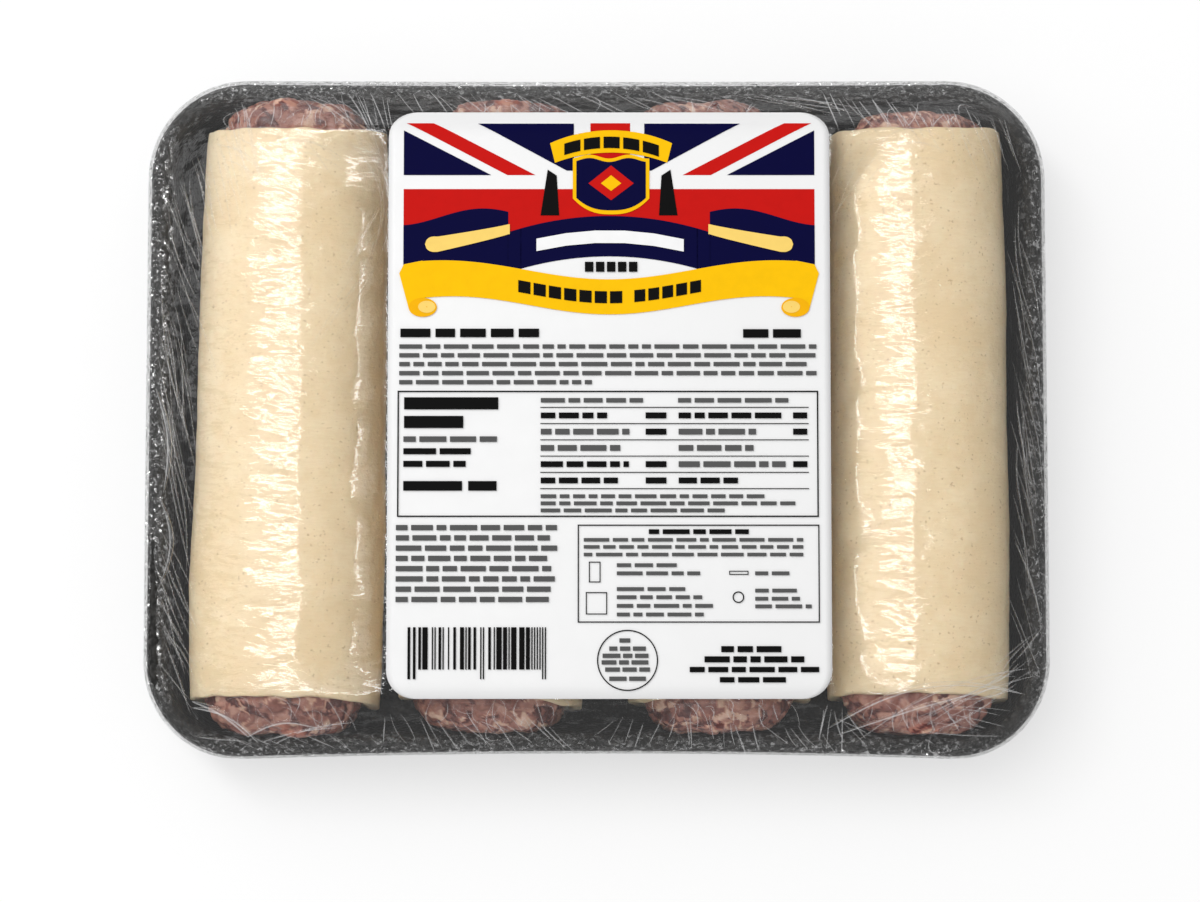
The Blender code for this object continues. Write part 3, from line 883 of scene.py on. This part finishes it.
def on_label(u, v, rise=0.0):
    """Points on the label's face: u to the right and v up from its middle, in millimetres."""
    x, y = LABEL_X + u * MM, LABEL_Y + v * MM
    return np.stack([x, y, label_height(x, y) + rise], axis=-1)


def label_rows():
    """The label as rows of v and columns of u that narrow round its corners."""
    half_u, half_v, corner = LABEL_HALF_WIDTH / MM, LABEL_HALF_LENGTH / MM, LABEL_CORNER / MM
    bend = np.radians(np.linspace(0, 90, 9))
    turned = half_v - corner + corner * np.cos(bend)
    v = np.concatenate([-turned, np.linspace(-(half_v - corner), half_v - corner, 84)[1:-1], turned[::-1]])
    into = np.clip(np.abs(v) - (half_v - corner), 0, corner)
    width = half_u - corner + np.sqrt(corner**2 - into**2)
    u = np.linspace(-1, 1, 68)[None, :] * width[:, None]
    return u, v[:, None] + 0 * u


paper_finish, paper, where = new_material("coated paper")
feed(
    paper,
    {
        "Base Color": where.noise(90.0, 3.0).blend((0.785, 0.785, 0.785), (0.81, 0.81, 0.81)),
        "Roughness": 0.34 + 0.1 * where.noise(300.0, 2.0),
        "Normal": where.noise(240.0, 3.0).bump(0.03 * MM, 0.5),
    },
)
label_u, label_v = label_rows()
label = add_surface("label_paper", on_label(label_u, label_v), paper_finish)
sheet = label.modifiers.new("Thickness", "SOLIDIFY")
sheet.thickness = PAPER
sheet.offset = -1
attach(label, "root")
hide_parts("label")


# --- The print on the label -------------------------------------------------------------------
# Flat inks on the paper: a field of plain stripes and wedges with ribbons across it, and below it
# bars that stand for lines of print, ruled boxes, a striped code and a ring.


def patch(corners, steps=(16, 12)):
    """A four-cornered field, as a grid that blends its corners (clockwise or not)."""
    a, b, c, d = (np.array(corner, float) for corner in corners)
    s = np.linspace(0, 1, steps[0])[None, :, None]
    t = np.linspace(0, 1, steps[1])[:, None, None]
    return (a * (1 - s) + b * s) * (1 - t) + (d * (1 - s) + c * s) * t


def bar(left, right, low, high):
    """An upright rectangle, divided finely enough to follow the label's bend."""
    steps = (int((right - left) / 1.6) + 2, int((high - low) / 0.9) + 2)
    return patch([(left, low), (right, low), (right, high), (left, high)], steps)


def between_curves(u_from, u_to, lower, upper, columns=40, rows=10):
    """The field between two curves, each a function of u."""
    u = np.linspace(u_from, u_to, columns)[None, :]
    t = np.linspace(0, 1, rows)[:, None]
    v = lower(u) * (1 - t) + upper(u) * t
    return np.stack([u + 0 * v, v], axis=-1)


def ring_field(centre, inner, outer, start=0, end=360, steps=48):
    """Part of a ring, its radii given across and up."""
    angle = np.radians(np.linspace(start, end, steps))[None, :]
    t = np.linspace(0, 1, 4)[:, None]
    across = (inner[0] * (1 - t) + outer[0] * t) * np.cos(angle)
    up = (inner[1] * (1 - t) + outer[1] * t) * np.sin(angle)
    return np.stack([centre[0] + across, centre[1] + up], axis=-1)


def frame_of(left, right, low, high, line):
    """Four thin bars round a box."""
    return [
        bar(left, right, low, low + line),
        bar(left, right, high - line, high),
        bar(left, left + line, low + line, high - line),
        bar(right - line, right, low + line, high - line),
    ]


def words(rng, left, right, middle, height, shortest=1.6, longest=5.4, gap=0.7):
    """Bars of random lengths along a line, which stand for its words."""
    lengths = rng.uniform(shortest, longest, 60)
    ends = left + np.cumsum(lengths + gap)
    starts = ends - lengths - gap
    kept = starts < right - shortest / 2
    spans = np.stack([starts, np.minimum(ends - gap, right)], axis=-1)[kept]
    return [bar(start, end, middle - height / 2, middle + height / 2) for start, end in spans]


def add_print(name, patches, colour, layer, roughness=0.5):
    """One ink: all its fields as one mesh that lies on the paper, in its own layer."""
    points, faces, first = [], [], 0
    for grid in patches:
        rows, columns = grid.shape[:2]
        number = first + np.arange(rows * columns).reshape(rows, columns)
        quads = np.stack([number[:-1, :-1], number[:-1, 1:], number[1:, 1:], number[1:, :-1]], axis=-1)
        points.append(grid.reshape(-1, 2))
        faces.append(quads.reshape(-1, 4))
        first += rows * columns
    flat = np.concatenate(points)
    place = on_label(flat[:, 0], flat[:, 1], rise=layer * INK_STEP)
    faces = np.concatenate(faces)
    one, two, three = place[faces[:, 0]], place[faces[:, 1]], place[faces[:, 2]]
    facing_down = np.cross(two - one, three - one)[:, 2] < 0
    faces[facing_down] = faces[facing_down][:, ::-1]
    ink_finish, ink, where = new_material(name)
    shade = where.noise(500.0, 3.0)
    darker = tuple(channel * 0.88 for channel in colour)
    feed(ink, {"Base Color": shade.blend(darker, colour), "Roughness": roughness + 0.08 * shade})
    ink.inputs["Specular IOR Level"].default_value = 0.02
    mesh = bpy.data.meshes.new(name)
    mesh.from_pydata(place.tolist(), [], faces.tolist())
    mesh.shade_smooth()
    mesh.materials.append(ink_finish)
    piece = add_to_scene(name, mesh)
    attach(piece, "root")
    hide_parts("label")


INK_STEP = 0.06 * MM
NAVY = (0.003, 0.003, 0.040)
RED = (0.58, 0.010, 0.008)
GOLD = (0.98, 0.55, 0.004)
PALE_GOLD = (0.96, 0.67, 0.17)
BLACK = (0.006, 0.006, 0.006)
GREY = (0.10, 0.10, 0.10)
WHITE = (0.92, 0.92, 0.92)
FIELD_EDGE = 40.8


def gold_top(u):
    return 26.3 - 1.9 * np.cos(math.pi * u / 33)


def gold_bottom(u):
    return 19.2 - 1.8 * np.cos(math.pi * u / 31)


def arch_top(u):
    return 37.1 - 3.1 * (u / 19.5) ** 2


def lens_top(u):
    return 29.0 - 2.5 * (u / 17.6) ** 2


def wave_top(u):
    """The navy ribbon's upper edge at either side: high near the middle, lower at the field's edge."""
    return 36.9 + 1.7 * np.cos(math.pi * (np.abs(u) - 25) / 17)


def shield_top(u):
    return 49.0 - 0.4 * np.cos(math.pi * u / 3.9)


def shield_bottom(u):
    return 37.4 + 3.2 * (np.abs(u - 0.4) / 7.6) ** 2.6


def fold_middle(u):
    """The middle of the pale fold at either side, which falls away outwards."""
    return 34.4 - 3.0 * np.clip((np.abs(u) - 20) / 14, 0, 1) ** 0.9


def fold_half(u):
    """Half of the pale fold's depth: it ends outwards in a round."""
    return (1.0 + 0.6 * (np.abs(u) - 20) / 16) * np.sqrt(1 - np.clip((np.abs(u) - 34.6) / 1.9, 0, 1) ** 2)


def blocks(u_from, u_to, lower, upper, count, gap):
    """A row of equal blocks between two curves, which stands for a word."""
    width = (u_to - u_from + gap) / count
    starts = u_from + width * np.arange(count)
    return [between_curves(u, u + width - gap, lower, upper, 6, 5) for u in starts]


navy, red, gold, pale, white, curls, dark = [], [], [], [], [], [], []
for side in (-1, 1):
    navy.append(patch([(side * 40.8, 54.3), (side * 40.8, 45.3), (side * 23.4, 45.3), (side * 40.8, 54.3)]))
    navy.append(patch([(side * 26.1, 55.8), (side * 7.0, 55.8), (side * 7.0, 46.2), (side * 8.4, 46.2)]))
    red.append(patch([(side * 40.3, 55.9), (side * 34.9, 55.9), (side * 14.6, 45.3), (side * 20.2, 45.3)]))
    navy.append(between_curves(side * 20.0, side * FIELD_EDGE, lambda u: gold_top(u) - 0.8, wave_top))
    navy.append(between_curves(side * 17.4, side * 20.1, lambda u: gold_top(u) - 0.8, arch_top))
    pale.append(
        between_curves(
            side * 19.7,
            side * 36.5,
            lambda u: fold_middle(u) - fold_half(u),
            lambda u: fold_middle(u) + fold_half(u),
            60,
        )
    )
    gold.append(patch([(side * 41.6, 25.6), (side * 39.7, 18.6), (side * 37.0, 19.4), (side * 37.0, 28.15)]))
    gold.append(patch([(side * 41.6, 25.6), (side * 40.7, 27.4), (side * 37.0, 28.15), (side * 39.3, 26.88)]))
    curls.append(ring_field((side * 36.9, 18.8), (0.1, 0.1), (2.8, 1.9)))
    pale.append(ring_field((side * 36.1, 18.9), (0.1, 0.1), (1.7, 1.2)))
    dark.append(patch([(side * 9.9, 37.2), (side * 13.6, 37.2), (side * 12.2, 46.4), (side * 10.4, 45.2)]))
navy.append(between_curves(-17.6, 17.6, lens_top, arch_top))
red.append(bar(-3.7, 4.2, 47.0, 55.9))
red.append(between_curves(-FIELD_EDGE, FIELD_EDGE, lambda u: 33.6 + 0 * u, lambda u: 42.5 + 0 * u))
gold.append(between_curves(-37.0, 37.0, gold_bottom, gold_top, columns=60))
add_print("print_red", red, RED, 1)
add_print("print_navy", navy, NAVY, 2)
add_print("print_dark_wedges", dark, BLACK, 3)
add_print("print_gold_curls", curls, (0.93, 0.46, 0.005), 5)
add_print("print_pale_gold", pale, PALE_GOLD, 6)

# A plain shield with a plain lozenge stands on the field, under a plain arched band.
gold.append(between_curves(-7.2, 8.0, shield_bottom, shield_top))
gold.append(ring_field((0.4, 33.4), (23.0, 16.4), (25.0, 20.9), 61, 119, 30))
add_print("print_gold", gold, GOLD, 4)
add_print(
    "print_shield", [between_curves(-6.5, 7.3, lambda u: shield_bottom(u) + 0.8, lambda u: shield_top(u) - 0.7)], NAVY, 5
)
lozenge = patch([(0.4, 47.2), (4.9, 43.6), (0.4, 40.2), (-4.1, 43.6)])
add_print("print_lozenge", [lozenge], RED, 6)
add_print("print_lozenge_middle", [0.45 * lozenge + 0.55 * np.array([0.4, 43.6])], GOLD, 7)

rng = np.random.default_rng(17)
heavy, light = [], []
heavy += words(rng, -41.3, -11.2, 13.7, 1.7, 3.4, 6.4, 1.0)
heavy += words(rng, 26.5, 41.0, 13.6, 1.7, 5.0, 6.8, 0.9)
for line_v, right in ((11.0, 41), (9.25, 41), (7.5, 40), (5.7, 41), (3.9, -3.4)):
    light += words(rng, -41.5, right, line_v, 0.85)
heavy += frame_of(-41.8, 41.3, -22.8, 2.2, 0.28)
heavy += [bar(-40.5, -21.9, -1.5, 0.9), bar(-40.5, -28.8, -5.2, -2.8)]
light += words(rng, -40.6, -20.8, -7.4, 1.1)
heavy += words(rng, -40.6, -27.3, -9.8, 1.2, 5.5, 6.5) + words(rng, -40.6, -28.3, -12.3, 1.2, 3.5, 5.0)
heavy += [bar(-40.6, -29.0, -17.6, -15.7), bar(-27.8, -22.2, -17.6, -15.7)]
for rule in range(6):
    line_v = -1.1 - 3.22 * rule
    heavy.append(bar(-13.6, 39.4, line_v - 0.09, line_v + 0.09))
light += words(rng, -13.5, 8.2, 0.3, 0.9) + words(rng, 13.6, 35.4, 0.3, 0.9)
for row, (name_end, second_end) in enumerate(((-0.4, 34.0), (4.0, 29.0), (2.2, 28.5), (3.9, 34.8), (1.9, 25.4))):
    line_v = -2.7 - 3.22 * row
    inks = (heavy, light, light, heavy, heavy)[row]
    inks += words(rng, -13.5, name_end, line_v, 1.15)
    (light, heavy)[row in (0, 4)].extend(words(rng, 13.7, second_end, line_v, 1.15))
    heavy += [bar(7.2, 11.3, line_v - 0.6, line_v + 0.6)] if row != 2 else []
    heavy += [bar(36.3, 39.1, line_v - 0.6, line_v + 0.6)] if row in (0, 1, 3) else []
for line_v, right in ((-18.7, 31.6), (-20.1, 37.7), (-21.5, 23.8)):
    light += words(rng, -13.5, right, line_v, 0.75)
for row in range(8):
    light += words(rng, -42.0, -10.5 + rng.uniform(-1.5, 0.6), -24.9 - 2.02 * row, 1.05)
heavy += frame_of(-6.2, 41.4, -43.6, -24.3, 0.24)
heavy += words(rng, 7.8, 27.5, -25.7, 0.95)
for line_v in (-27.3, -28.7, -30.2):
    light += words(rng, -5.0, 38.2, line_v, 0.7)
for line_v, right in ((-32.3, 14.6), (-33.9, 17.9), (-37.0, 16.0), (-38.6, 19.6), (-40.3, 20.4), (-42.0, 19.6)):
    light += words(rng, 1.5, right, line_v, 0.75)
for line_v, right in ((-33.9, 36.5), (-37.3, 37.0), (-38.9, 37.5), (-40.4, 39.8)):
    light += words(rng, 28.7, right, line_v, 0.75)
heavy += frame_of(-4.0, -1.7, -35.7, -31.6, 0.2) + frame_of(-4.6, -0.4, -42.0, -37.6, 0.2)
heavy += frame_of(23.6, 27.4, -34.2, -33.4, 0.18) + [ring_field((25.4, -38.6), (0.9, 0.9), (1.15, 1.15))]
bar_edges = np.concatenate([[0], np.cumsum(rng.choice([1, 2, 3, 4], 59, p=[0.42, 0.32, 0.16, 0.10]))])
bar_edges = -39.6 + bar_edges * 27.2 / bar_edges[-1]
for k in range(0, 59, 2):
    guard = k < 4 or 26 < k < 32 or k > 54
    heavy.append(bar(bar_edges[k], bar_edges[k + 1], -54.7 if guard else -52.8, -44.5))
heavy.append(ring_field((3.6, -51.0), (5.75, 5.75), (6.0, 6.0), steps=72))
for line_v, half in ((-47.1, 1.6), (-48.7, 3.6), (-50.1, 4.9), (-51.4, 5.1), (-52.8, 4.4), (-54.6, 3.6)):
    light += words(rng, 3.6 - half, 3.6 + half, line_v, 0.85, 1.2, 3.6, 0.5)
for line_v, half, thick in ((-48.8, 6.5, 1.2), (-50.8, 9.8, 1.2), (-52.8, 12.7, 1.05), (-54.8, 6.8, 1.05)):
    heavy += words(rng, 28.5 - half, 28.5 + half, line_v, thick, 2.0, 5.6)
heavy += blocks(-4.8, 5.6, lambda u: 25.9 + 0 * u, lambda u: 27.9 + 0 * u, 5, 0.5)
heavy += blocks(-18.0, 2.6, lambda u: gold_bottom(u) + 2.2, lambda u: gold_bottom(u) + 4.6, 7, 0.6)
heavy += blocks(5.0, 18.2, lambda u: gold_bottom(u) + 2.2, lambda u: gold_bottom(u) + 4.6, 5, 0.6)
heavy += blocks(-8.9, 9.9, lambda u: 50.7 - 0.018 * u**2, lambda u: 53.0 - 0.018 * u**2, 5, 0.7)
white += blocks(-14.4, 14.8, lambda u: lens_top(u) + 2.7, lambda u: arch_top(u) - 2.9, 1, 0)
add_print("print_heavy_lines", heavy, BLACK, 6)
add_print("print_light_lines", light, GREY, 6)
add_print("print_white", white, WHITE, 6)
